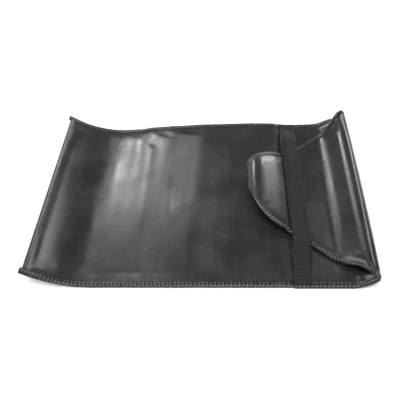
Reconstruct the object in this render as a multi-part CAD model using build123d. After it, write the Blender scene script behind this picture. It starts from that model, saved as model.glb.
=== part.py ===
from build123d import *
import math
import os

# Belly pad: a flat leather wrap with a curled left wing, and a closure flap that curls up and
# back over itself, narrows to a tongue, passes under a webbing keeper and ends in a raised tab.
# Millimetres. X runs along the wrap, Y across it, Z up. The origin is at the centre of the
# footprint, on the surface that the pad lies on.

os.makedirs("parts", exist_ok=True)

# --- widths -------------------------------------------------------------------------------
PAD_HALF_WIDTH = 170.0         # pad, centre line to the outside of its binding
CLOSURE_HALF_WIDTH = 171.2     # the closure flap is a little wider than the pad

# --- layers, through the thickness ----------------------------------------------------------
LEATHER = 1.0                  # outer and inner leather
FOAM = 2.4                     # foam core
PANEL = LEATHER + FOAM + LEATHER
TAPE = 0.8                     # folded binding tape, one layer
PAD_FLANGE = 9.0               # how far the binding reaches in from the edge
TONGUE_FLANGE = 7.0
SKIN_GAP = 0.05                # between the tape's folded face and the leather
STITCH_IN = 1.0                # the folded tape's pocket runs on this far past its edge
REST_GAP = 0.2                 # between the tongue and the leather that it lies on

# --- lengths along the wrap, and the radii and turns (degrees) of its bends --------------------
SEAM_X = 126.55                # where the closure flap is joined to the pad
WING_START_X = -141.95         # where the wing leaves the table
WING_RADIUS = 160.0
WING_TURN = 36.0
BEND_GAP = 0.9                 # room at the wing's bend line
END_HEM_REACH = 10.0           # turned leather edge on the wing's free end
BINDING_OVERHANG = 3.0         # the pad's binding runs on past the free end

BASE_LENGTH = 40.0             # closure flap, flat part that stays with the pad
RISE_FLAT = 34.2               # flat part that rolls up when the tongue is pulled
RISE_RADIUS = 47.0             # lower side of the loop
RISE_TURN = 37.5
RISE_REST = 10.6               # the rest of that arc, which belongs to the loop's nose
NOSE_RADIUS = 8.7
NOSE_TURN = 163.2
SETTLE_RADIUS = 50.0           # where the tongue comes down on the flap
TONGUE_BEND_X = SEAM_X + 12.0  # under the keeper, where the tongue starts to rise
TONGUE_END_X = SEAM_X - 0.5    # end of the tongue, at the keeper's left edge
TAB_BEND_RADIUS = 10.0
TAB_TURN = 28.0                # the tab stands up at this angle
TAB_GAP = 2.6                  # room for the tab to fold down
TAB_STRAIGHT = 29.0
TAB_TIP_RADIUS = 92.0
TAB_TIP_TURN = 21.8

# half width of the tongue and tab at distances from the seam, down to the tab's straight end
TAPER = [(126, 182), (105, 171.4), (95, 162), (80, 146.3), (50, 124.5), (20, 94.8), (0, 78.5),
         (-30, 63), (-46, 46.5), (-54.3, 23)]
OUTLINE_POINTS = 19            # along each side, where the outline is moved in from the edge
OUTLINE_HEIGHT = 80.0          # taller than the tab

# --- keeper ---------------------------------------------------------------------------------
KEEPER_WIDTH = 25.0            # one-inch webbing
KEEPER_THICKNESS = 1.6
KEEPER_HALF_SPAN = 167.5       # to its end, under the binding
KEEPER_CREST = 17.0            # underside over the tongue
KEEPER_CREST_HALF = 105.0      # half length of the level stretch
KEEPER_BEND_RADIUS = 60.0
KEEPER_FOOT_RADIUS = 30.0

LAYERS = {
    "outer_leather": (0.0, LEATHER),
    "foam_core": (LEATHER, LEATHER + FOAM),
    "inner_leather": (LEATHER + FOAM, PANEL),
}
SIDES = {"near": -1, "far": 1}


class Track:
    """A chain of tangent straights and arcs in the X-Z plane: the wrap's outer surface.

    Each run is ("line", length) or ("arc", radius, turn), a positive turn curling upwards or
    over to the left. Depth is measured from the outer surface towards the inner one.
    """

    def __init__(self, x, z, heading, runs):
        self.start = (x, z, heading)
        self.runs = runs

    def edges(self, depth):
        """The chain's edges at a depth, and its heading at the end."""
        x, z, heading = self.start
        x, z = x - depth * math.sin(heading), z + depth * math.cos(heading)
        made = []
        for run in self.runs:
            if run[0] == "line":
                x2, z2 = x + run[1] * math.cos(heading), z + run[1] * math.sin(heading)
                made.append(Edge.make_line((x, 0, z), (x2, 0, z2)))
            else:
                side = math.copysign(1.0, run[2])
                radius = run[1] - side * depth
                turn = math.radians(run[2])
                cx, cz = x - side * radius * math.sin(heading), z + side * radius * math.cos(heading)
                points = []
                for share in (0.5, 1.0):
                    angle = heading + turn * share
                    points.append((cx + side * radius * math.sin(angle),
                                   0, cz - side * radius * math.cos(angle)))
                made.append(Edge.make_three_point_arc((x, 0, z), points[0], points[1]))
                heading += turn
                x2, z2 = points[1][0], points[1][2]
            x, z = x2, z2
        return made, heading

    def end(self, depth=0.0):
        """X, Z and heading at the end of the chain."""
        edges, heading = self.edges(depth)
        last = edges[-1] @ 1
        return last.X, last.Z, heading

    def slab(self, depth_a, depth_b, y_low, y_high):
        """The solid between two depths, from y_low to y_high."""
        low, _ = self.edges(depth_a)
        high, _ = self.edges(depth_b)
        caps = [Edge.make_line(low[0] @ 0, high[0] @ 0), Edge.make_line(low[-1] @ 1, high[-1] @ 1)]
        face = Face(Wire(low + high + caps))
        return extrude(Pos(0, y_low, 0) * face, amount=y_high - y_low, dir=(0, 1, 0))


def write(name, solid):
    solid.label = name
    export_step(solid, f"parts/{name}.step")


def edge_channel(track, half, flange, side):
    """Binding tape folded over one long edge of a panel: side is -1 near, +1 far."""
    low, high = sorted((side * (half - flange), side * half))
    tape = track.slab(-TAPE, PANEL + TAPE, low, high)
    low, high = sorted((side * (half - flange - STITCH_IN), side * (half - TAPE)))
    return tape - track.slab(-SKIN_GAP, PANEL + SKIN_GAP, low, high)


# --- the pad: left wing and centre ----------------------------------------------------------
def wing_turn(length):
    """The turn, in degrees, of a length measured along the wing."""
    return math.degrees(length / WING_RADIUS)


def wing_track(past_end, length):
    """A stretch of the wing's arc that starts past_end beyond its free end."""
    heading = -math.radians(WING_TURN + wing_turn(past_end))
    x = WING_START_X + WING_RADIUS * math.sin(heading)
    z = TAPE + WING_RADIUS * (1.0 - math.cos(heading))
    return Track(x, z, heading, [("arc", WING_RADIUS, wing_turn(length))])


WING_LENGTH = WING_RADIUS * math.radians(WING_TURN) - BEND_GAP
wing = wing_track(0.0, WING_LENGTH)
wing_edge = wing_track(BINDING_OVERHANG, WING_LENGTH + BINDING_OVERHANG)
centre = Track(WING_START_X, TAPE, 0.0, [("line", SEAM_X - WING_START_X)])
pad_skin = PAD_HALF_WIDTH - TAPE - SKIN_GAP

for part_name, track, edge_track in (("left_wing", wing, wing_edge), ("centre", centre, centre)):
    for layer, (low, high) in LAYERS.items():
        write(f"{part_name}_{layer}", track.slab(low, high, -pad_skin, pad_skin))
    for side_name, side in SIDES.items():
        tape = edge_channel(edge_track, PAD_HALF_WIDTH, PAD_FLANGE, side)
        write(f"{part_name}_{side_name}_binding", tape)

# turned leather edge on the wing's free end, between the two bindings
hem_half = PAD_HALF_WIDTH - PAD_FLANGE - SKIN_GAP
hem = wing_track(TAPE, END_HEM_REACH).slab(-TAPE, PANEL + TAPE, -hem_half, hem_half)
hem -= wing_track(SKIN_GAP, END_HEM_REACH).slab(-SKIN_GAP, PANEL + SKIN_GAP, -hem_half, hem_half)
write("left_end_hem", hem)

# --- the closure flap: base, rise, nose, slope, tongue and tab --------------------------------
base = Track(SEAM_X, TAPE, 0.0, [("line", BASE_LENGTH)])
rise = Track(*base.end(), [("line", RISE_FLAT), ("arc", RISE_RADIUS, RISE_TURN)])
nose = Track(*rise.end(), [("arc", RISE_RADIUS, RISE_REST), ("arc", NOSE_RADIUS, NOSE_TURN)])

# the slope is as long as the tongue needs to come down on the flap
nose_x, nose_z, nose_heading = nose.end()
slope_angle = nose_heading - math.pi
nose_centre_z = nose_z + NOSE_RADIUS * math.cos(nose_heading)
tongue_z = TAPE + PANEL + REST_GAP + TAPE + PANEL
settle_drop = SETTLE_RADIUS * (1.0 - math.cos(slope_angle))
slope_length = (nose_z - settle_drop - tongue_z) / math.sin(slope_angle)
slope = Track(nose_x, nose_z, nose_heading, [
    ("line", slope_length), ("arc", SETTLE_RADIUS, -math.degrees(slope_angle))])

level_x, level_z, _ = slope.end()
tab_angle = math.radians(TAB_TURN)
climb = (TONGUE_BEND_X - TONGUE_END_X - TAB_BEND_RADIUS * math.sin(tab_angle)) / math.cos(tab_angle)
tongue_runs = [("line", level_x - TONGUE_BEND_X), ("arc", TAB_BEND_RADIUS, -TAB_TURN), ("line", climb)]
tongue = Track(level_x, level_z, math.pi, tongue_runs)
tab_root = Track(level_x, level_z, math.pi, [*tongue_runs, ("line", TAB_GAP)])
tab = Track(*tab_root.end(), [("line", TAB_STRAIGHT), ("arc", TAB_TIP_RADIUS, -TAB_TIP_TURN)])


def taper_prism(inset):
    """Upright prism of the tongue's plan outline, moved in from the edge by inset."""
    side = Edge.make_spline([(SEAM_X + x, y, 0) for x, y in TAPER])
    points = []
    for i in range(OUTLINE_POINTS):
        share = i / (OUTLINE_POINTS - 1)
        along = side % share
        points.append(side @ share + Vector(-along.Y, along.X, 0) * inset)
    # the last point runs on along the edge to the tab's straight end
    points[-1] += along * (((side @ 1).X + inset - points[-1].X) / along.X)
    far_edge = Edge.make_spline(points)
    ends = [Edge.make_line(point, (point.X, -point.Y, 0)) for point in (points[0], points[-1])]
    outline = Face(Wire([far_edge, far_edge.mirror(Plane.XZ), *ends]))
    return extrude(outline, amount=OUTLINE_HEIGHT, dir=(0, 0, 1))


edge_prism = taper_prism(0.0)
skin_prism = taper_prism(TAPE + SKIN_GAP)
flange_prism = taper_prism(TONGUE_FLANGE)
# everything above the middle of the loop's nose, where the outline starts to narrow
nose_head = Pos(SEAM_X + TAPER[0][0] / 2, 0, nose_centre_z + OUTLINE_HEIGHT / 2) * Box(
    TAPER[0][0], 2 * TAPER[0][1], OUTLINE_HEIGHT)


def closure_layer(track, low, high, region):
    """One layer of the closure flap. region is flat, nose or taper."""
    skin = CLOSURE_HALF_WIDTH - TAPE - SKIN_GAP
    solid = track.slab(low, high, -skin, skin)
    if region == "taper":
        return solid & skin_prism
    if region == "nose":
        return solid - (nose_head - skin_prism)
    return solid


def closure_binding(track, region):
    """The tape along the flap's two edges, and round the end of the tab."""
    half = CLOSURE_HALF_WIDTH
    strips = [edge_channel(track, half, PAD_FLANGE, side) for side in SIDES.values()]
    if region == "flat":
        return strips[0] + strips[1]
    shell = track.slab(-TAPE, PANEL + TAPE, -half, half)
    core = track.slab(-SKIN_GAP, PANEL + SKIN_GAP, -half + TAPE, half - TAPE)
    if region == "taper":
        return (shell & edge_prism) - flange_prism - (core & skin_prism)
    head = ((shell & nose_head) & edge_prism) - flange_prism - (core & skin_prism)
    return (strips[0] + strips[1] - nose_head) + head


# --- the keeper: webbing over the tongue, its ends sewn in under the closure flap's binding ----
def keeper_solid(clearance=0.0):
    """The keeper, arched over the tongue, or the pocket that it needs in the binding."""
    foot_z = TAPE + PANEL + SKIN_GAP
    drop = KEEPER_CREST - foot_z
    radii = KEEPER_BEND_RADIUS + KEEPER_FOOT_RADIUS
    reach = KEEPER_HALF_SPAN - PAD_FLANGE - KEEPER_CREST_HALF
    # a tilted straight, tangent to both arcs, joins the bend at the foot to the bend at the crest
    straight = math.sqrt(reach**2 + drop**2 - 2.0 * radii * drop)
    tilt = math.atan2(radii * reach - straight * (radii - drop), radii * (radii - drop) + straight * reach)
    turn = math.degrees(tilt)
    up = [("line", PAD_FLANGE), ("arc", KEEPER_FOOT_RADIUS, turn), ("line", straight),
          ("arc", KEEPER_BEND_RADIUS, -turn)]
    runs = up + [("line", 2.0 * KEEPER_CREST_HALF)] + up[::-1]
    track = Track(-KEEPER_HALF_SPAN, foot_z, 0.0, runs)
    solid = track.slab(-clearance, KEEPER_THICKNESS + clearance, -KEEPER_WIDTH, 0.0)
    # the track is drawn in X-Z: turn it so that it runs along Y
    return Pos(SEAM_X, 0, 0) * Rot(0, 0, 90) * solid


def keeper_cover(side):
    """The binding over one sewn end of the keeper."""
    height = KEEPER_THICKNESS + TAPE
    y = side * (CLOSURE_HALF_WIDTH - PAD_FLANGE / 2.0)
    z = TAPE + PANEL + SKIN_GAP + height / 2.0
    return Pos(SEAM_X + KEEPER_WIDTH / 2.0, y, z) * Box(KEEPER_WIDTH, PAD_FLANGE, height)


write("keeper_webbing", keeper_solid())

STRETCHES = [("closure_base", base, "flat"), ("closure_rise", rise, "flat"), ("nose", nose, "nose"),
             ("tongue_slope", slope, "taper"), ("tongue", tongue, "taper"), ("tab", tab, "taper")]
for name, track, region in STRETCHES:
    for layer, (low, high) in LAYERS.items():
        write(f"{name}_{layer}", closure_layer(track, low, high, region))
    binding = closure_binding(track, region)
    if name == "closure_base":
        for side in SIDES.values():
            binding += keeper_cover(side)
        binding -= keeper_solid(SKIN_GAP)
    write(f"{name}_binding", binding)

# the two bending lines, for the joints: the wing's, and the tab's on top of its tape
print("wing axis", WING_START_X - BEND_GAP, "tab axis", tab_root.end(-TAPE))
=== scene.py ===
import math

import bpy
from mathutils import Matrix, Vector, noise


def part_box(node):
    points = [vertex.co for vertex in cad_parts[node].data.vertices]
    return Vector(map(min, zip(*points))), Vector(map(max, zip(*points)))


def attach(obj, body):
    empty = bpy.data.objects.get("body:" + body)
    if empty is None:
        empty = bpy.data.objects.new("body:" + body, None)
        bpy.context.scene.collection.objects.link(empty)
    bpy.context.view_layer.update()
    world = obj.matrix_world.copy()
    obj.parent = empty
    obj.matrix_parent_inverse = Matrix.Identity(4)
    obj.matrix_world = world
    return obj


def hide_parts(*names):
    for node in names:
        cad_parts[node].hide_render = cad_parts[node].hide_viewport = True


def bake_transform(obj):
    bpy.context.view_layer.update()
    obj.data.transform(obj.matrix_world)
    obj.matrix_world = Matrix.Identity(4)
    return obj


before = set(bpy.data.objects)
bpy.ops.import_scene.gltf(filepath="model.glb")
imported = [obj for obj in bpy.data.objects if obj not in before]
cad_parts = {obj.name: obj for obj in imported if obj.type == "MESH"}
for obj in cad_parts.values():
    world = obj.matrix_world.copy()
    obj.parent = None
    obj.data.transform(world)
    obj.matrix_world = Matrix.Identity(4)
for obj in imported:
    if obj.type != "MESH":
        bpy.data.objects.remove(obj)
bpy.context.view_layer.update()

# A trainer's belly pad: a padded leather wrap whose left end curls up. At the right its closure
# flap curls up and back, passes under a webbing keeper and ends in a raised tab.
# Metres, in the frame of the CAD model: X to the right, Y away from the camera, Z up.

MM = 0.001
OUTER, INNER = 0, 1                    # the two skins of a panel


# --- measures taken from the frame ----------------------------------------------------------------
def low(node):
    return Vector(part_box(node)[0])


def high(node):
    return Vector(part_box(node)[1])


SEAM_X = low("closure_base_outer_leather").x
BEND_X = low("centre_outer_leather").x
FLOOR_GAP = low("centre_outer_leather").z  # the tape under the leather lifts it
PANEL = high("centre_inner_leather").z - FLOOR_GAP  # leather, foam and leather together
PAD_HALF = high("centre_far_binding").y
CLOSURE_HALF = high("closure_base_binding").y
KEEPER_LOW, KEEPER_HIGH = low("keeper_webbing"), high("keeper_webbing")

# --- the design's own sizes, radii and turns (degrees) --------------------------------------------
TAPE = 0.8 * MM
REST_GAP = 0.2 * MM                    # between the tongue and the flap under it
PAD_FLANGE = 9.0 * MM                  # how far the binding reaches in from the edge
TONGUE_FLANGE = 7.0 * MM
WING_RADIUS, WING_TURN = 160 * MM, 36.0
OVERHANG = 3.0 * MM                    # the pad's binding runs on past its free end
HEM_REACH = 6.0 * MM
BASE_AND_RISE = 74.2 * MM              # the flap's flat part, from the seam to the loop
RISE_RADIUS, RISE_TURN = 47.0 * MM, 48.1
NOSE_RADIUS, NOSE_TURN = 8.7 * MM, 137.9
CROWN_RADIUS, CROWN_TURN = 30 * MM, 30.0
SETTLE_RADIUS = 42 * MM
TONGUE_BEND_X = SEAM_X + 12 * MM
TAB_RADIUS, TAB_TURN = 10 * MM, 28.0
TONGUE_END_X, TAB_GAP, TAB_STRAIGHT = SEAM_X - 0.5 * MM, 2.6 * MM, 29.7 * MM
TAB_TIP_RADIUS, TAB_TIP_TURN = 92 * MM, 21.8
# the outline of the tongue and tab, from the nose to the tip: x from the seam, and half width
TAPER = [(x * MM, y * MM) for x, y in (
    (126, 182), (105, 171.4), (95, 162), (80, 146.3), (50, 125), (20, 97.5), (0, 83),
    (-20, 72.8), (-35, 61.5), (-45, 49.5), (-51, 38.7), (-54, 30), (-55, 23.5))]
TAB_SPARE, TAB_SPARE_RUN = 1.4 * MM, 20 * MM  # the tab is a little wider than that

LEAST_ROW = 0.05 * MM                  # a shorter piece of a run gets no rows of its own
ROW_TURN = 0.12                        # the most that a bend turns from row to row, in radians


class Chain:
    """Tangent straights and arcs in a vertical plane, by arc length: a surface's side view.

    Each run is (kind, size, turn): a line's length, or an arc's radius and its turn in degrees.
    """

    def __init__(self, x, z, heading, runs):
        self.spans = []
        reach = 0.0
        for kind, size, turn in runs:
            length = size if kind == "line" else size * abs(math.radians(turn))
            curve = 0.0 if kind == "line" else math.copysign(1.0 / size, turn)
            self.spans.append((reach, length, x, z, heading, curve))
            x, z, heading = self.step(x, z, heading, curve, length)
            reach += length
        self.length = reach

    @staticmethod
    def step(x, z, heading, curve, s):
        """Where a run of this curve leads to after the length s."""
        if not curve:
            return x + s * math.cos(heading), z + s * math.sin(heading), heading
        end = heading + curve * s
        return (x + (math.sin(end) - math.sin(heading)) / curve,
                z - (math.cos(end) - math.cos(heading)) / curve, end)

    def at(self, s):
        """x, z and heading at the arc length s."""
        under = self.spans[0]
        for candidate in self.spans:
            if s >= candidate[0]:
                under = candidate
        start, _, x, z, heading, curve = under
        return self.step(x, z, heading, curve, s - start)

    def rows(self, s0, s1, step):
        """Arc lengths from s0 to s1, closer together where the chain bends sharply."""
        marks = [s0]
        for start, length, _, _, _, curve in self.spans:
            a, b = max(s0, start), min(s1, start + length)
            if b - a > LEAST_ROW:
                pitch = min(step, ROW_TURN / abs(curve)) if curve else step
                marks += spread(a, b, pitch)[1:]
        marks[-1] = s1
        return marks


def spread(a, b, step):
    """Even marks from a to b, about a step apart."""
    count = max(1, round(abs(b - a) / step))
    return [a + (b - a) * i / count for i in range(count + 1)]


def smooth(t):
    """0 up to t = 0, 1 from t = 1 on, and an even S curve between them."""
    t = min(1.0, max(0.0, t))
    return t * t * (3 - 2 * t)


pad_chain = Chain(BEND_X - WING_RADIUS * math.sin(math.radians(WING_TURN)),
                  FLOOR_GAP + WING_RADIUS * (1 - math.cos(math.radians(WING_TURN))),
                  -math.radians(WING_TURN),
                  [("arc", WING_RADIUS, WING_TURN), ("line", SEAM_X - BEND_X, 0)])

# the slope is as long as the tongue needs to come down on the flap
loop_runs = [("line", BASE_AND_RISE, 0), ("arc", RISE_RADIUS, RISE_TURN),
             ("arc", NOSE_RADIUS, NOSE_TURN), ("arc", CROWN_RADIUS, CROWN_TURN)]
loop = Chain(SEAM_X, FLOOR_GAP, 0.0, loop_runs)
nose_z = loop.at(loop.length)[1]
SLOPE_ANGLE = RISE_TURN + NOSE_TURN + CROWN_TURN - 180
settle_drop = SETTLE_RADIUS * (1 - math.cos(math.radians(SLOPE_ANGLE)))
tongue_z = 2 * (FLOOR_GAP + PANEL) + REST_GAP
slope_length = (nose_z - settle_drop - tongue_z) / math.sin(math.radians(SLOPE_ANGLE))
slope_runs = loop_runs + [("line", slope_length, 0), ("arc", SETTLE_RADIUS, -SLOPE_ANGLE)]
slope = Chain(SEAM_X, FLOOR_GAP, 0.0, slope_runs)
tab_angle = math.radians(TAB_TURN)
climb = (TONGUE_BEND_X - TONGUE_END_X - TAB_RADIUS * math.sin(tab_angle)) / math.cos(tab_angle)
closure_chain = Chain(SEAM_X, FLOOR_GAP, 0.0, slope_runs + [
    ("line", slope.at(slope.length)[0] - TONGUE_BEND_X, 0), ("arc", TAB_RADIUS, -TAB_TURN),
    ("line", climb + TAB_GAP + TAB_STRAIGHT, 0), ("arc", TAB_TIP_RADIUS, -TAB_TIP_TURN)])

# arc lengths where one piece of the closure ends and the next begins
NOSE_EXTREME_S = (BASE_AND_RISE + RISE_RADIUS * math.radians(RISE_TURN)
                  + NOSE_RADIUS * math.radians(90 - RISE_TURN))
NOSE_SPLIT_S = NOSE_EXTREME_S - NOSE_RADIUS * math.radians(25)
TAB_ROOT_S = closure_chain.length - TAB_TIP_RADIUS * math.radians(TAB_TIP_TURN) - TAB_STRAIGHT
TAB_SPLIT_S = TAB_ROOT_S - 7 * MM


def spline_slopes(points):
    """Slope at each point: that of the line between its two neighbours."""
    slopes = []
    for i in range(len(points)):
        a, b = points[max(0, i - 1)], points[min(len(points) - 1, i + 1)]
        slopes.append((b[1] - a[1]) / (b[0] - a[0]))
    return slopes


TAPER_SLOPES = spline_slopes(TAPER)


def taper_half(x):
    """Half width of the tongue and tab at x, a smooth curve through the outline's points."""
    u = max(x - SEAM_X, TAPER[-1][0])
    for i in range(len(TAPER) - 1):
        (x1, y1), (x0, y0) = TAPER[i], TAPER[i + 1]
        if u >= x0:
            h = x1 - x0
            t = min(1.0, (u - x0) / h)
            return ((2 * t**3 - 3 * t**2 + 1) * y0 + (t**3 - 2 * t**2 + t) * h * TAPER_SLOPES[i + 1]
                    + (-2 * t**3 + 3 * t**2) * y1 + (t**3 - t**2) * h * TAPER_SLOPES[i])
    return TAPER[-1][1]


def closure_half(s):
    """Half width of the closure at the arc length s."""
    if s <= NOSE_EXTREME_S:
        return CLOSURE_HALF
    spare = TAB_SPARE * smooth((s - TAB_ROOT_S) / TAB_SPARE_RUN)
    return min(CLOSURE_HALF, taper_half(closure_chain.at(s)[0]) + spare)


# --- where the real wrap leaves its plain shape ---------------------------------------------------
# how far its far edge stands off the table, along x
FAR_LIFT = [(x * MM, z * MM) for x, z in (
    (-240, 1.8), (-200, 0.3), (-145, 0), (-116, 1), (-88, 5), (-52, 7.3), (0, 9.6), (80, 10.6),
    (111, 9.8), (139, 4.9), (182, 5.2), (240, 6.5))]
LIFT_POWER = 1.6                       # how quickly the lift fades towards the near edge
FAR_CURL = 8.5 * MM                    # the flap's far edge curls up more just before the nose
CURL_X, CURL_SPREAD, CURL_DEPTH = SEAM_X + 86 * MM, 17 * MM, 60 * MM
NOSE_BOW, NOSE_PULL = 1.7 * MM, 1.4 * MM  # the nose bows out between its two ends
NOSE_BOW_FROM, NOSE_BOW_RUN = SEAM_X + 60 * MM, 40 * MM
END_LEAN, END_LEAN_RUN = 2.8 * MM, 95 * MM  # the wing's far corner is pulled in
TONGUE_SLIDE = 24 * MM                 # how far the tongue slides over the pad
SLIDE_CLEARANCE = 0.75 * MM
# it is carried less and less up the slope, and less and less where the tab leaves the pad
CARRY_SLOPE_X, CARRY_SLOPE_RUN = SEAM_X + 70 * MM, 30 * MM
CARRY_TAB_LEAD, CARRY_TAB_RUN = 2 * MM, 10 * MM


def settle_lift(x, y):
    """How far the wrap stands off the table: most at its far edge, not at all at its near edge."""
    broad = FAR_LIFT[-1][1]
    for (x0, z0), (x1, z1) in zip(FAR_LIFT, FAR_LIFT[1:]):
        if x < x1:
            broad = z0 + (z1 - z0) * smooth((x - x0) / (x1 - x0))
            break
    broad *= min(1.0, max(0.0, 0.5 + 0.5 * y / PAD_HALF)) ** LIFT_POWER
    curl = math.exp(-((x - CURL_X) / CURL_SPREAD) ** 2)
    curl *= smooth((y - PAD_HALF + CURL_DEPTH) / CURL_DEPTH)
    return broad + FAR_CURL * curl


def lean(x, y):
    """Small sideways shift: the nose bows out, the wing's far corner is pulled in."""
    bow = NOSE_BOW * max(0.0, 1 - (y / PAD_HALF) ** 2) - NOSE_PULL
    bow *= smooth((x - NOSE_BOW_FROM) / NOSE_BOW_RUN)
    pull = END_LEAN * (0.5 + 0.5 * y / PAD_HALF) * smooth((BEND_X - x) / END_LEAN_RUN)
    return bow + pull


def carried_lift(x, y):
    """How much higher the tongue lies, so that it clears the ground that it slides over."""
    ahead = max(settle_lift(x - slide, y) for slide in (0.0, TONGUE_SLIDE / 2, TONGUE_SLIDE))
    extra = ahead - settle_lift(x, y) + SLIDE_CLEARANCE
    slope_fade = smooth((CARRY_SLOPE_X - x) / CARRY_SLOPE_RUN)
    tab_fade = smooth((x - SEAM_X + CARRY_TAB_LEAD) / CARRY_TAB_RUN)
    return extra * slope_fade * tab_fade


def surface(chain, s, y, depth):
    """The point at the arc length s and the width y, at a depth into the panel from its outer skin."""
    x, z, heading = chain.at(s)
    px, pz = x - depth * math.sin(heading), z + depth * math.cos(heading)
    lift = settle_lift(px, y)
    if chain is closure_chain and s > NOSE_EXTREME_S:
        lift += carried_lift(px, y)
    return Vector((px + lean(px, y), y, pz + lift))


# --- mesh helpers ---------------------------------------------------------------------------------
def add_mesh(name, verts, faces, material, shade_smooth=True):
    mesh = bpy.data.meshes.new(name)
    mesh.from_pydata([tuple(v) for v in verts], [], faces)
    mesh.validate()
    mesh.update()
    if shade_smooth:
        mesh.polygons.foreach_set("use_smooth", [True] * len(mesh.polygons))
    obj = bpy.data.objects.new(name, mesh)
    bpy.context.scene.collection.objects.link(obj)
    mesh.materials.append(material)
    return obj


def apply_modifiers(obj):
    """Replaces the object's mesh by what its modifiers make of it."""
    graph = bpy.context.evaluated_depsgraph_get()
    mesh = bpy.data.meshes.new_from_object(obj.evaluated_get(graph))
    obj.modifiers.clear()
    obj.data = mesh


GRID = 5 * MM
END_GAP = 0.12 * MM                    # between one panel's end and the next
CROWDING = 0.3                         # how much the columns crowd together at the two edges
UNSEWN = 100                           # further than any real distance from an edge
PRESSURE = 4.0
PUFF_CAP = 0.45 * MM                   # how far the air may move a point
CLOTH_FRAMES = 20


def inflate(obj, held):
    """Air pressure on the closed panel as cloth, with the held vertices sewn down."""
    group = obj.vertex_groups.new(name="held")
    group.add(held, 1.0, "REPLACE")
    start = [v.co.copy() for v in obj.data.vertices]
    cloth = obj.modifiers.new("cloth", "CLOTH")
    cloth.settings.quality = 4
    cloth.settings.mass = 0.4
    cloth.settings.tension_stiffness = 30
    cloth.settings.compression_stiffness = 30
    cloth.settings.shear_stiffness = 15
    cloth.settings.bending_stiffness = 4
    cloth.settings.use_pressure = True
    cloth.settings.uniform_pressure_force = PRESSURE
    cloth.settings.vertex_group_mass = "held"
    cloth.settings.effector_weights.gravity = 0.0
    cloth.collision_settings.use_collision = False
    cloth.point_cache.frame_start, cloth.point_cache.frame_end = 1, CLOTH_FRAMES
    for number in range(1, CLOTH_FRAMES + 1):
        bpy.context.scene.frame_set(number)
    graph = bpy.context.evaluated_depsgraph_get()
    blown = obj.evaluated_get(graph).data
    moved = [v.co.copy() for v in blown.vertices]
    bpy.context.scene.frame_set(1)
    obj.modifiers.clear()
    obj.vertex_groups.clear()
    for vertex, a, b in zip(obj.data.vertices, start, moved):
        step = b - a
        if step.length > PUFF_CAP:
            step *= PUFF_CAP / step.length
        vertex.co = a + step
    obj.data.update()


def refine(obj):
    """One subdivision, applied."""
    subdivision = obj.modifiers.new("subdivision", "SUBSURF")
    subdivision.levels = subdivision.render_levels = 1
    apply_modifiers(obj)


def panel(name, chain, s0, s1, half, flange, shape, hold=(0.0, 0.0), grid=GRID):
    """A padded sheet, closed all round: rows along the chain, columns across it.

    shape(s, y, inset, skin) gives a depth; inset is the distance from the nearest sewn edge, and
    hold is how much is sewn down at the two ends, where 0 leaves an end free of that.
    """
    rows = chain.rows(s0 + END_GAP, s1 - END_GAP, grid)
    rows = rows[:1] + [rows[0] + END_GAP] + rows[1:-1] + [rows[-1] - END_GAP] + rows[-1:]
    count = round(2 * PAD_HALF / GRID)
    shares = [-math.cos(math.pi * i / count) * CROWDING + (2 * i / count - 1) * (1 - CROWDING)
              for i in range(count + 1)]
    verts, faces, held = [], [], []
    start_spare, end_spare = (UNSEWN if width == 0 else 0 for width in hold)
    for skin in (OUTER, INNER):
        for s in rows:
            h = half(s)
            for share in shares:
                y = share * h
                inset = min(h - abs(y), s - s0 + start_spare, s1 - s + end_spare)
                sewn = inset < flange or s - s0 < hold[0] or s1 - s < hold[1]
                if sewn or not rows[1] < s < rows[-2]:
                    held.append(len(verts))
                verts.append(surface(chain, s, y, shape(s, y, inset, skin)))
    n, m = len(rows), len(shares)

    def index(side, i, j):
        return side * n * m + i * m + j

    def face(*corners):
        faces.append([index(*corner) for corner in corners])

    for i in range(n - 1):
        for j in range(m - 1):
            face((0, i, j), (0, i, j + 1), (0, i + 1, j + 1), (0, i + 1, j))
            face((1, i, j), (1, i + 1, j), (1, i + 1, j + 1), (1, i, j + 1))
        face((0, i, 0), (0, i + 1, 0), (1, i + 1, 0), (1, i, 0))
        face((0, i, m - 1), (1, i, m - 1), (1, i + 1, m - 1), (0, i + 1, m - 1))
    for j in range(m - 1):
        face((0, 0, j), (1, 0, j), (1, 0, j + 1), (0, 0, j + 1))
        face((0, n - 1, j), (0, n - 1, j + 1), (1, n - 1, j + 1), (1, n - 1, j))
    obj = add_mesh(name, verts, faces, LEATHER)
    inflate(obj, held)
    refine(obj)
    return obj


def sweep(name, frames, section, material):
    """Sweeps a closed section along frames of (origin, inward, normal), with a cap at each end.

    section(i) gives the points at frame i, as (distance inward, distance along the normal).
    """
    verts, faces = [], []
    size = len(section(0))
    for i, (origin, inward, normal) in enumerate(frames):
        verts += [origin + inward * a + normal * d for a, d in section(i)]
    for i in range(len(frames) - 1):
        for k in range(size):
            k2 = (k + 1) % size
            faces.append((i * size + k, i * size + k2, (i + 1) * size + k2, (i + 1) * size + k))
    last = (len(frames) - 1) * size
    faces.append(tuple(reversed(range(size))))
    faces.append(tuple(range(last, last + size)))
    return add_mesh(name, verts, faces, material)


def edge_frames(chain, path):
    """Frames of (origin, inward, normal) along an edge path of (s, y) points, on the outer skin."""
    frames = []
    for i, (s, y) in enumerate(path):
        s_a, y_a = path[max(0, i - 1)]
        s_b, y_b = path[min(len(path) - 1, i + 1)]
        along = (surface(chain, s_b, y_b, 0.0) - surface(chain, s_a, y_a, 0.0)).normalized()
        origin = surface(chain, s, y, 0.0)
        normal = (surface(chain, s, y, PANEL) - origin).normalized()
        inward = normal.cross(along).normalized()
        frames.append((origin, inward, normal))
    return frames


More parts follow.
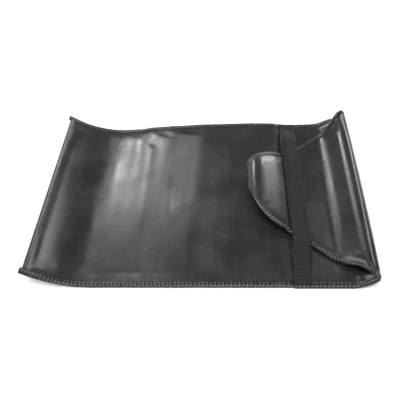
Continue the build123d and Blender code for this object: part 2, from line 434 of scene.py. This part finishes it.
# --- materials ------------------------------------------------------------------------------------
def new_material(name):
    """A material with its nodes, its links and its shader."""
    material = bpy.data.materials.new(name)
    material.use_nodes = True
    nodes, links = material.node_tree.nodes, material.node_tree.links
    return material, nodes, links, nodes["Principled BSDF"]


def texture(nodes, links, kind, scale, stretch=(1, 1, 1), **settings):
    """A noise or cell texture on the object's own coordinates, in metres."""
    coords = nodes.new("ShaderNodeTexCoord")
    mapping = nodes.new("ShaderNodeMapping")
    mapping.inputs["Scale"].default_value = stretch
    links.new(coords.outputs["Object"], mapping.inputs["Vector"])
    made = nodes.new(kind)
    made.inputs["Scale"].default_value = scale
    for socket, value in settings.items():
        made.inputs[socket].default_value = value
    links.new(mapping.outputs["Vector"], made.inputs["Vector"])
    return made


def remap(nodes, links, source, low_out, high_out, low_in=0.3, high_in=0.7):
    """Smooth step from low_out to high_out, as the source goes from low_in to high_in."""
    ramp = nodes.new("ShaderNodeMapRange")
    ramp.interpolation_type = "SMOOTHSTEP"
    ramp.inputs["From Min"].default_value = low_in
    ramp.inputs["From Max"].default_value = high_in
    ramp.inputs["To Min"].default_value = low_out
    ramp.inputs["To Max"].default_value = high_out
    links.new(source, ramp.inputs["Value"])
    return ramp.outputs["Result"]


def shades(colour, *factors):
    """The colour darkened or lightened by each factor."""
    return [tuple(channel * factor for channel in colour) for factor in factors]


def combine(nodes, links, operation, a, b):
    """Sum or product of two outputs."""
    node = nodes.new("ShaderNodeMath")
    node.operation = operation
    links.new(a, node.inputs[0])
    links.new(b, node.inputs[1])
    return node.outputs["Value"]


def blend_colours(nodes, links, factor, a, b):
    """Mix of two colours, each a tuple or an output, by the factor output."""
    mix = nodes.new("ShaderNodeMix")
    mix.data_type = "RGBA"
    for socket, value in (("A", a), ("B", b)):
        if isinstance(value, tuple):
            mix.inputs[socket].default_value = (*value, 1)
        else:
            links.new(value, mix.inputs[socket])
    links.new(factor, mix.inputs["Factor"])
    return mix.outputs["Result"]


def stack_bumps(nodes, links, shader, layers):
    """Bumps one over another: each layer is (height output, strength, distance)."""
    under = None
    for height, strength, distance in layers:
        bump = nodes.new("ShaderNodeBump")
        bump.inputs["Strength"].default_value = strength
        bump.inputs["Distance"].default_value = distance
        links.new(height, bump.inputs["Height"])
        if under:
            links.new(under, bump.inputs["Normal"])
        under = bump.outputs["Normal"]
    links.new(under, shader.inputs["Normal"])


WORN_POINTINESS = (0.53, 0.60)         # from untouched to fully worn


def worn_edges(nodes, links, colour, worn):
    """Mixes in a paler colour on the sharp outer edges."""
    geometry = nodes.new("ShaderNodeNewGeometry")
    scuff = texture(nodes, links, "ShaderNodeTexNoise", 160.0, Detail=3.0)
    edge = remap(nodes, links, geometry.outputs["Pointiness"], 0.0, 1.0, *WORN_POINTINESS)
    patch = remap(nodes, links, scuff.outputs["Fac"], 0.0, 1.0, 0.42, 0.62)
    return blend_colours(nodes, links, combine(nodes, links, "MULTIPLY", edge, patch), colour, worn)


def leather_material(name, colour, rough, grain):
    """Coated leather: fine cells, brushed streaks across the wrap, and wiped patches."""
    material, nodes, links, shader = new_material(name)
    cells = texture(nodes, links, "ShaderNodeTexVoronoi", 900.0)
    pores = texture(nodes, links, "ShaderNodeTexNoise", 2200.0, Detail=2.0)
    streaks = texture(nodes, links, "ShaderNodeTexNoise", 90.0, (1, 0.06, 0.3), Detail=3.0)
    patches = texture(nodes, links, "ShaderNodeTexNoise", 16.0, Detail=5.0, Roughness=0.6)
    creases = texture(nodes, links, "ShaderNodeTexNoise", 45.0, (0.5, 1.0, 1.0),
                      Detail=3.0, Distortion=0.2)
    dark, pale, worn = shades(colour, 0.75, 1.3, 3.0)
    clean = remap(nodes, links, patches.outputs["Fac"], 0.0, 1.0)
    tone = blend_colours(nodes, links, clean, dark, pale)
    links.new(worn_edges(nodes, links, tone, worn), shader.inputs["Base Color"])
    wiped = remap(nodes, links, patches.outputs["Fac"], rough - 0.05, rough + 0.06)
    brushed = remap(nodes, links, streaks.outputs["Fac"], -0.03, 0.03)
    links.new(combine(nodes, links, "ADD", wiped, brushed), shader.inputs["Roughness"])
    stack_bumps(nodes, links, shader, [
        (creases.outputs["Fac"], 0.10, 0.6 * MM),
        (streaks.outputs["Fac"], 0.10, 0.20 * MM),
        (cells.outputs["Distance"], grain, 0.05 * MM),
        (pores.outputs["Fac"], grain * 0.4, 0.03 * MM)])
    return material


def tape_material(name, colour, rough):
    """Glossy binding tape with a fine cross grain and scuffed folds."""
    material, nodes, links, shader = new_material(name)
    cells = texture(nodes, links, "ShaderNodeTexVoronoi", 1300.0)
    scuffs = texture(nodes, links, "ShaderNodeTexNoise", 120.0, Detail=4.0)
    dark, pale, worn = shades(colour, 0.7, 1.4, 8.0)
    rubbed = remap(nodes, links, scuffs.outputs["Fac"], 0.0, 1.0)
    tone = blend_colours(nodes, links, rubbed, dark, pale)
    links.new(worn_edges(nodes, links, tone, worn), shader.inputs["Base Color"])
    links.new(remap(nodes, links, scuffs.outputs["Fac"], rough - 0.06, rough + 0.12),
              shader.inputs["Roughness"])
    stack_bumps(nodes, links, shader, [
        (scuffs.outputs["Fac"], 0.15, 0.4 * MM), (cells.outputs["Distance"], 0.15, 0.08 * MM)])
    return material


def woven_material(name, colour, rough, warp, weft):
    """Woven yarn: fine warp lines along Y crossed by weft lines along X."""
    material, nodes, links, shader = new_material(name)
    lines = []
    for scale, direction in ((warp, "X"), (weft, "Y")):
        wave = texture(nodes, links, "ShaderNodeTexWave", scale, Distortion=0.6)
        wave.bands_direction = direction
        lines.append(wave.outputs["Fac"])
    weave = combine(nodes, links, "MULTIPLY", *lines)
    fuzz = texture(nodes, links, "ShaderNodeTexNoise", 700.0, Detail=3.0)
    tone = blend_colours(nodes, links, weave, *shades(colour, 0.6, 1.4))
    links.new(tone, shader.inputs["Base Color"])
    links.new(remap(nodes, links, fuzz.outputs["Fac"], rough - 0.08, rough + 0.08),
              shader.inputs["Roughness"])
    shader.inputs["Specular IOR Level"].default_value = 0.3
    shader.inputs["Sheen Weight"].default_value = 0.03
    shader.inputs["Sheen Roughness"].default_value = 0.4
    stack_bumps(nodes, links, shader, [(weave, 0.5, 0.2 * MM), (fuzz.outputs["Fac"], 0.2, 0.1 * MM)])
    return material


LEATHER = leather_material("black_leather", (0.015, 0.015, 0.0152), 0.215, 0.09)
TAPE_LEATHER = tape_material("binding_tape", (0.006, 0.006, 0.006), 0.2)
THREAD = woven_material("thread", (0.20, 0.20, 0.20), 0.35, 1500.0, 900.0)
WEBBING = woven_material("webbing", (0.0045, 0.0045, 0.0045), 0.62, 320.0, 1200.0)

# --- panels ---------------------------------------------------------------------------------------
SEWN_THIN = 1.2 * MM                   # the panel is this much thinner under its binding
SEWN_OVERLAP, FILL_RUN = 2 * MM, 9 * MM  # where it starts to fill out, and over what length
PAD_SLACK, TONGUE_SLACK = 0.35 * MM, 0.25 * MM  # height of the waves in the leather
PAD_SLACK_RUN, TONGUE_SLACK_RUN = 25 * MM, 20 * MM  # how far inside the binding they are that high
SEAM_RUN = 18 * MM                     # the pad rises a little over this length before the seam
SEAM_RISE, SEAM_END_RISE = 0.15 * MM, 1.1 * MM  # and rises more at the seam's near end


def sewn_depth(inset, flange, skin, dipped):
    """Depth of a skin at a distance from the edge: the dipped skin is drawn in under the binding."""
    full = smooth((inset - flange + SEWN_OVERLAP) / FILL_RUN)
    dip = SEWN_THIN * (1 - full) if skin == dipped else 0.0
    return PANEL - dip if skin == INNER else dip


def pad_shape(s, y, inset, skin):
    """The pad's skins: the inner one has long shallow waves, and is high at the seam's near end."""
    depth = sewn_depth(inset, PAD_FLANGE, skin, INNER)
    if skin == INNER:
        x = pad_chain.at(s)[0]
        fade = smooth((inset - PAD_FLANGE) / PAD_SLACK_RUN)
        slack = fade * smooth((SEAM_X - TONGUE_SLIDE - x) / PAD_SLACK_RUN)
        wave = (noise.noise(Vector((x * 14, y * 5, 3.1)))
                + 0.5 * noise.noise(Vector((x * 30, y * 8, 7.7))))
        depth += PAD_SLACK * wave * slack
        rise = (SEAM_RISE * smooth((-y - 10 * MM) / (50 * MM))
                + SEAM_END_RISE * smooth((-y - 100 * MM) / (30 * MM)))
        depth += rise * smooth((x - SEAM_X + SEAM_RUN) / SEAM_RUN) * fade
    return depth


def flap_shape(s, y, inset, skin):
    """The flap's skins, which are plain."""
    return sewn_depth(inset, PAD_FLANGE, skin, INNER)


def tongue_shape(s, y, inset, skin):
    """The skins of the tongue and tab: the outer one, which is uppermost there, is a little wavy."""
    depth = sewn_depth(inset, TONGUE_FLANGE, skin, OUTER)
    if skin == OUTER:
        x = closure_chain.at(s)[0]
        fade = smooth((inset - TONGUE_FLANGE) / TONGUE_SLACK_RUN)
        depth += TONGUE_SLACK * fade * noise.noise(Vector((x * 20, y * 7, 11.3)))
    return depth


def inside_tape(s):
    """Half width of the closure's leather at the arc length s."""
    return closure_half(s) - TAPE


pad = panel("pad_body", pad_chain, 0.0, pad_chain.length, lambda s: PAD_HALF - TAPE,
            PAD_FLANGE, pad_shape, hold=(HEM_REACH, 0.0))
flap = panel("closure_flap", closure_chain, 0.0, NOSE_SPLIT_S, inside_tape, PAD_FLANGE, flap_shape)
tongue = panel("closure_tongue", closure_chain, NOSE_SPLIT_S, TAB_SPLIT_S, inside_tape,
               TONGUE_FLANGE, tongue_shape)
tab = panel("closure_tab", closure_chain, TAB_SPLIT_S, closure_chain.length - TAPE, inside_tape,
            TONGUE_FLANGE, tongue_shape, hold=(0.0, TONGUE_FLANGE), grid=GRID / 2)

# --- binding tape and its stitches ----------------------------------------------------------------
STITCH_PITCH = 5.4 * MM
PUCKER, PUCKER_WIDTH = 0.5 * MM, 1.1 * MM  # how far each stitch draws the tape in, and how wide
FOLD_BULGE, FOLD_RUN = 0.25 * MM, 3 * MM
FOLD_DRAW = 0.22                       # share by which a stitch draws the fold in
FOLD_STEPS = 10
ROW_EIGHTHS = (6.6, 6.1, 5.6, 5.1, 4.6, 4.1, 3.6, 3.1)  # of the tape's reach, across its stitch rows
LIP_DROP, LIP_RUN = 0.35 * MM, 0.8 * MM  # the tape's inner edge is pressed down
TAPE_LIFT = 0.05 * MM                  # between the tape and the leather
TAPE_WANDER = 0.35 * MM


def tape_section(flange, rows, mark, dipped, wobble):
    """Closed section of folded tape at a mark along it: round the edge, then back inside it.

    rows are the distances of the stitch rows from the edge; the tape puckers between stitches.
    dipped is the skin that is drawn in under the tape.
    """
    pull = 0.5 + 0.5 * math.cos(2 * math.pi * mark / STITCH_PITCH)
    reach = flange + wobble

    def over(skin, inset, height):
        depth = sewn_depth(inset, flange, skin, dipped)
        return depth + height if skin == INNER else depth - height

    def outside(inset, skin):
        sunk = sum(math.exp(-((inset - row) / PUCKER_WIDTH) ** 2) for row in rows)
        bulge = TAPE + FOLD_BULGE * smooth(1 - inset / FOLD_RUN) - PUCKER * sunk * pull
        lip = LIP_DROP * smooth((inset - reach + LIP_RUN) / LIP_RUN)
        return over(skin, inset, bulge - lip)

    marks = [reach, reach - 0.4 * MM, reach - 1.0 * MM]
    marks += [flange * k / 8 for k in ROW_EIGHTHS] + [flange / 3]
    points = [(inset, outside(inset, OUTER)) for inset in marks]
    bottom, top = outside(marks[-1], OUTER), outside(marks[-1], INNER)
    middle, radius = (bottom + top) / 2, (top - bottom) / 2
    for k in range(1, FOLD_STEPS):
        angle = math.pi * k / FOLD_STEPS
        drawn = 1 - FOLD_DRAW * pull * math.sin(angle) ** 2
        points.append((marks[-1] * (1 - drawn * math.sin(angle)),
                       middle - drawn * radius * math.cos(angle)))
    points += [(inset, outside(inset, INNER)) for inset in reversed(marks)]
    points += [(inset, over(skin, inset, TAPE_LIFT))
               for skin, inset in ((INNER, reach), (INNER, TAPE), (OUTER, TAPE), (OUTER, reach))]
    return points


def path_marks(chain, path):
    """Distance along an edge path at each of its points."""
    marks, reach = [0.0], 0.0
    for (s0, y0), (s1, y1) in zip(path, path[1:]):
        reach += (surface(chain, s1, y1, 0.0) - surface(chain, s0, y0, 0.0)).length
        marks.append(reach)
    return marks


def tape(name, chain, path, flange, rows, dipped, material):
    """Folded tape along an edge path, with an inner edge that wanders a little."""
    marks = path_marks(chain, path)

    def section(i):
        wobble = TAPE_WANDER * noise.noise(Vector((marks[i] * 60, flange * 900, 5.0)))
        return tape_section(flange, rows, marks[i], dipped, wobble)

    return sweep(name, edge_frames(chain, path), section, material)


THREAD_RADIUS, THREAD_HALF_LENGTH = 0.42 * MM, 1.9 * MM
THREAD_TIP = 0.2                       # share of its radius at the tips
THREAD_LIFT, THREAD_BEND = 0.02 * MM, 0.25 * MM  # off the tape, and down into it at the ends
THREAD_RINGS, THREAD_SIDES = 5, 6


def add_thread(verts, faces, centre, along, inward, normal, outward):
    """One stitch: a short thread with tapered ends; outward is the side of the tape it lies on."""
    first, rings, sides = len(verts), THREAD_RINGS, THREAD_SIDES
    for ring in range(rings):
        t = ring / (rings - 1) * 2 - 1
        girth = THREAD_RADIUS * math.sqrt(max(THREAD_TIP**2, 1 - t**4))
        spot = centre + along * (t * THREAD_HALF_LENGTH) - normal * (outward * THREAD_BEND * t**2)
        for k in range(sides):
            turn = 2 * math.pi * k / sides
            verts.append(spot + inward * (girth * math.cos(turn)) + normal * (girth * math.sin(turn)))
    for ring in range(rings - 1):
        for k in range(sides):
            a, b = first + ring * sides + k, first + ring * sides + (k + 1) % sides
            faces.append((a, b, b + sides, a + sides))
    faces.append(tuple(reversed(range(first, first + sides))))
    faces.append(tuple(range(first + (rings - 1) * sides, first + rings * sides)))


def stitch_row(name, chain, path, rows, dipped):
    """Short threads on both faces of the tape, between its puckers."""
    marks, frames = path_marks(chain, path), edge_frames(chain, path)
    verts, faces = [], []
    heights = {INNER: PANEL - (SEWN_THIN if dipped == INNER else 0.0),
               OUTER: SEWN_THIN if dipped == OUTER else 0.0}
    place = 0
    for n in range(int(marks[-1] / STITCH_PITCH)):
        middle = (n + 0.5) * STITCH_PITCH
        while place < len(marks) - 2 and marks[place + 1] < middle:
            place += 1
        share = (middle - marks[place]) / (marks[place + 1] - marks[place])
        origin, inward, normal = (a.lerp(b, share) for a, b in zip(frames[place], frames[place + 1]))
        inward.normalize()
        normal.normalize()
        along = inward.cross(normal)
        for row in rows:
            for skin, outward in ((INNER, 1), (OUTER, -1)):
                height = heights[skin] + outward * (TAPE + THREAD_LIFT)
                centre = origin + inward * row + normal * height
                add_thread(verts, faces, centre, along, inward, normal, outward)
    return add_mesh(name, verts, faces, THREAD)


EDGE_STEP = STITCH_PITCH / 4
# distances of the two stitch rows from the edge
PAD_ROWS = (6.6 * MM, 3.4 * MM)
CLOSURE_ROWS = (7.2 * MM, 3.4 * MM)
TONGUE_ROWS = (5.2 * MM, 2.6 * MM)
trims = {}                             # name: (tape, stitches)


def trim(name, chain, path, flange, rows, dipped):
    """A length of binding tape and its stitches."""
    trims[name] = (tape(f"{name}_tape", chain, path, flange, rows, dipped, TAPE_LEATHER),
                   stitch_row(f"{name}_stitches", chain, path, rows, dipped))


def closure_path(s0, s1, side):
    """Edge path of the closure; both sides run so that inward is to the left of the way."""
    path = [(s, side * closure_half(s)) for s in closure_chain.rows(s0, s1, EDGE_STEP)]
    return path if side < 0 else path[::-1]


for side, side_name in ((-1, "near"), (1, "far")):
    pad_path = [(s, side * PAD_HALF) for s in spread(-OVERHANG, pad_chain.length, EDGE_STEP)]
    trim(f"pad_{side_name}", pad_chain, pad_path if side < 0 else pad_path[::-1],
         PAD_FLANGE, PAD_ROWS, INNER)
    trim(f"flap_{side_name}", closure_chain, closure_path(0.0, NOSE_SPLIT_S, side),
         PAD_FLANGE, CLOSURE_ROWS, INNER)
    trim(f"tongue_{side_name}", closure_chain, closure_path(NOSE_SPLIT_S, TAB_SPLIT_S, side),
         TONGUE_FLANGE, TONGUE_ROWS, OUTER)
tab_side = closure_path(TAB_SPLIT_S, closure_chain.length, -1)
tip_half = closure_half(closure_chain.length)
tab_end = [(closure_chain.length, y) for y in spread(-tip_half, tip_half, EDGE_STEP)][1:-1]
trim("tab", closure_chain, tab_side + tab_end + [(s, -y) for s, y in reversed(tab_side)],
     TONGUE_FLANGE, TONGUE_ROWS, OUTER)

# --- hem: the leather's turned end on the wing ----------------------------------------------------
hem_half = PAD_HALF - PAD_FLANGE
hem_path = [(0.0, y) for y in spread(hem_half, -hem_half, EDGE_STEP)]
hem = tape("left_hem", pad_chain, hem_path, HEM_REACH, (), INNER, LEATHER)

# --- keeper ---------------------------------------------------------------------------------------
KEEPER_THICK = 1.6 * MM
KEEPER_CREST_HALF, FOOT_RADIUS, CREST_RADIUS = 105 * MM, 30 * MM, 60 * MM
KEEPER_STEP, KEEPER_COLUMNS = 0.6 * MM, 12
RIB_PITCH = 5.4 * MM
GROOVE_WIDTH = 0.2                     # of the pitch
RIB_DEPTH, FAR_RIB_SHARE = 0.8 * MM, 0.3  # the ribs get shallower towards the far end
FULL_RIB_Y, RIB_FADE_RUN = -60 * MM, 80 * MM
KEEPER_ROUNDING = 0.45 * MM            # at the band's two edges
KEEPER_BOW = 2.8 * MM                  # the rising tab pushes the keeper's near half to the right
BOW_Y, BOW_SPREAD = -85 * MM, 55 * MM
KEEPER_SHIFT = 0.6 * MM
KEEPER_TILT = 4.4 * MM                 # its right edge lies lower, on the tongue

# the side view rises from the binding by two arcs with a straight between them, and comes down again
keeper_drop = KEEPER_HIGH.z - KEEPER_THICK - KEEPER_LOW.z
run_up = KEEPER_HIGH.y - PAD_FLANGE - KEEPER_CREST_HALF
radii = FOOT_RADIUS + CREST_RADIUS
straight = math.sqrt(run_up**2 + keeper_drop**2 - 2 * radii * keeper_drop)
tilt = math.degrees(math.atan2(radii * run_up - straight * (radii - keeper_drop),
                               radii * (radii - keeper_drop) + straight * run_up))
keeper_up = [("line", PAD_FLANGE, 0), ("arc", FOOT_RADIUS, tilt), ("line", straight, 0),
             ("arc", CREST_RADIUS, -tilt)]
keeper_chain = Chain(-KEEPER_HIGH.y, KEEPER_LOW.z, 0.0,
                     keeper_up + [("line", 2 * KEEPER_CREST_HALF, 0)] + keeper_up[::-1])


def keeper_ring(s):
    """The band's section at the arc length s: its upper face, then back along its lower face."""
    y, z, _ = keeper_chain.at(s)
    raised = (z - KEEPER_LOW.z) / keeper_drop
    bow = KEEPER_BOW * math.exp(-((y - BOW_Y) / BOW_SPREAD) ** 2) * min(1.0, raised * 2)
    groove = math.exp(-(((s / RIB_PITCH) % 1.0 - 0.5) / GROOVE_WIDTH) ** 2)
    near = smooth((FULL_RIB_Y + RIB_FADE_RUN - y) / RIB_FADE_RUN)
    rib_depth = RIB_DEPTH * (FAR_RIB_SHARE + (1 - FAR_RIB_SHARE) * near)
    ring = []
    for upper in (True, False):
        for k in range(KEEPER_COLUMNS + 1):
            u = k / KEEPER_COLUMNS if upper else 1 - k / KEEPER_COLUMNS
            edge = min(u, 1 - u) * KEEPER_COLUMNS
            rounding = KEEPER_ROUNDING * max(0.0, 1 - edge) ** 2
            x = KEEPER_LOW.x - KEEPER_SHIFT + bow + u * (KEEPER_HIGH.x - KEEPER_LOW.x)
            crest_lift = settle_lift(KEEPER_LOW.x, y) + carried_lift(x, y)
            lift = settle_lift(x, y) * (1 - raised) + crest_lift * raised
            under = z - KEEPER_TILT * raised * u + lift
            rib = rib_depth * groove * min(1.0, edge)
            ring.append(Vector((x, y, under + (KEEPER_THICK - rounding - rib if upper else rounding))))
    return ring


def keeper_mesh():
    """Ribbed webbing: one ring of points after another along Y."""
    verts, faces = [], []
    marks = spread(0.0, keeper_chain.length, KEEPER_STEP)
    for s in marks:
        verts += keeper_ring(s)
    size = 2 * (KEEPER_COLUMNS + 1)
    for i in range(len(marks) - 1):
        for k in range(size):
            k2 = (k + 1) % size
            faces.append((i * size + k, (i + 1) * size + k, (i + 1) * size + k2, i * size + k2))
    last = (len(marks) - 1) * size
    faces.append(tuple(range(size)))
    faces.append(tuple(reversed(range(last, last + size))))
    return add_mesh("keeper_strap", verts, faces, WEBBING)


keeper = keeper_mesh()

# --- the hem and keeper follow their bodies; the CAD parts the pieces replace are hidden ----------
LAYER_NAMES = ("outer_leather", "foam_core", "inner_leather")


def layers(*stems):
    """The CAD nodes of each stem's leather and foam."""
    return [f"{stem}_{layer}" for stem in stems for layer in LAYER_NAMES]


for piece in (pad, *trims["pad_near"], *trims["pad_far"]):
    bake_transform(piece)
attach(hem, "left_wing")
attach(keeper, "pad")
for piece in (flap, *trims["flap_near"], *trims["flap_far"]):
    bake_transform(piece)
for piece in (tongue, *trims["tongue_near"], *trims["tongue_far"]):
    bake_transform(piece)
for piece in (tab, *trims["tab"]):
    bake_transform(piece)

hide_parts(*layers("left_wing", "centre"))
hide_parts(*layers("closure_base", "closure_rise"))
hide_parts(*layers("nose", "tongue_slope", "tongue"))
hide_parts(*layers("tab"))
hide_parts("left_wing_near_binding", "centre_near_binding")
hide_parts("left_wing_far_binding", "centre_far_binding")
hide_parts("closure_base_binding", "closure_rise_binding")
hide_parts("nose_binding", "tongue_slope_binding", "tongue_binding")
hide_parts("tab_binding")
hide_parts("left_end_hem")
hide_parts("keeper_webbing")

# --- camera ---------------------------------------------------------------------------------------
scene = bpy.context.scene
camera_data = bpy.data.cameras.new("camera")
camera_data.lens = 50.85               # millimetres, from the perspective of the photograph
camera_data.sensor_width = 36.0
camera = bpy.data.objects.new("camera", camera_data)
scene.collection.objects.link(camera)
elevation, yaw, roll = (math.radians(v) for v in (45.04, -4.65, -3.75))
forward = Vector((math.sin(yaw) * math.cos(elevation), math.cos(yaw) * math.cos(elevation),
                  -math.sin(elevation)))
level_right = Vector((math.cos(yaw), -math.sin(yaw), 0))
level_up = level_right.cross(forward)
right = level_right * math.cos(roll) + level_up * math.sin(roll)
up = level_up * math.cos(roll) - level_right * math.sin(roll)
place = Vector((SEAM_X - 80.9 * MM, -617.5 * MM, 617.4 * MM))
camera.matrix_world = Matrix((
    (right.x, up.x, -forward.x, place.x),
    (right.y, up.y, -forward.y, place.y),
    (right.z, up.z, -forward.z, place.z),
    (0, 0, 0, 1)))
scene.camera = camera

# --- floor and lights -----------------------------------------------------------------------------
FLOOR_HALF = 4                         # metres
floor_material, nodes, links, shader = new_material("pale_floor")
mottle = texture(nodes, links, "ShaderNodeTexNoise", 3.0)
links.new(blend_colours(nodes, links, mottle.outputs["Fac"], (0.88, 0.88, 0.88), (0.92, 0.92, 0.92)),
          shader.inputs["Base Color"])
shader.inputs["Roughness"].default_value = 0.9
shader.inputs["Specular IOR Level"].default_value = 0.1
floor = add_mesh("floor", [(-FLOOR_HALF, -FLOOR_HALF, 0), (FLOOR_HALF, -FLOOR_HALF, 0),
                           (FLOOR_HALF, FLOOR_HALF, 0), (-FLOOR_HALF, FLOOR_HALF, 0)],
                 [(0, 1, 2, 3)], floor_material, False)

LAMP_REACH = 4.0


def add_lamp(light, spot):
    """Places a lamp so that it faces the origin."""
    lamp = bpy.data.objects.new(light.name, light)
    lamp.location = spot
    lamp.rotation_euler = (-spot).to_track_quat("-Z", "Y").to_euler()
    scene.collection.objects.link(lamp)


def softbox(name, azimuth, elevation, radiance):
    """A rectangle of light that fills a range of azimuths and elevations, in degrees.

    Azimuths run from +Y towards +X.
    """
    middle_a, middle_e = math.radians(sum(azimuth) / 2), math.radians(sum(elevation) / 2)
    light = bpy.data.lights.new(name, "AREA")
    light.shape = "RECTANGLE"
    light.size = LAMP_REACH * math.radians(azimuth[1] - azimuth[0]) * math.cos(middle_e)
    light.size_y = LAMP_REACH * math.radians(elevation[1] - elevation[0])
    light.energy = radiance * math.pi * light.size * light.size_y
    add_lamp(light, LAMP_REACH * Vector((math.cos(middle_e) * math.sin(middle_a),
                                         math.cos(middle_e) * math.cos(middle_a), math.sin(middle_e))))


# the windows make the streaks on the pad and nose, and the others light what curves away from them
softbox("window_wide", (-31, -17), (33.5, 40), 9.2)
softbox("window", (-21.5, -16.8), (34, 45.5), 10.5)
softbox("window_edge", (-12.4, -9.8), (42, 49), 14.0)
softbox("window_glow", (-24, -12), (45.5, 66), 0.9)
softbox("wing_box", (29, 45), (29, 55), 4.8)
softbox("tab_box", (27, 42), (14, 24), 8.5)
softbox("tab_glow", (27, 42), (24, 31), 5.0)
softbox("settle_box", (-34, -20), (60, 68), 4.0)
softbox("left_strip", (-84, -56), (16, 50), 4.0)

overhead = bpy.data.lights.new("overhead", "AREA")
overhead.shape = "SQUARE"
overhead.size = 1.5
overhead.energy = 85
add_lamp(overhead, Vector((0.0, -1.1, 2.4)))

# a dim room, a little brighter low down
world = bpy.data.worlds.new("studio")
scene.world = world
world.use_nodes = True
nodes, links = world.node_tree.nodes, world.node_tree.links
direction = nodes.new("ShaderNodeTexCoord")
split = nodes.new("ShaderNodeSeparateXYZ")
links.new(direction.outputs["Generated"], split.inputs["Vector"])
glow = remap(nodes, links, split.outputs["Z"], 0.3, 0.24, 0.4, 0.8)
links.new(glow, nodes["Background"].inputs["Strength"])
nodes["Background"].inputs["Color"].default_value = (1, 1, 1, 1)
scene.view_settings.view_transform = "Standard"
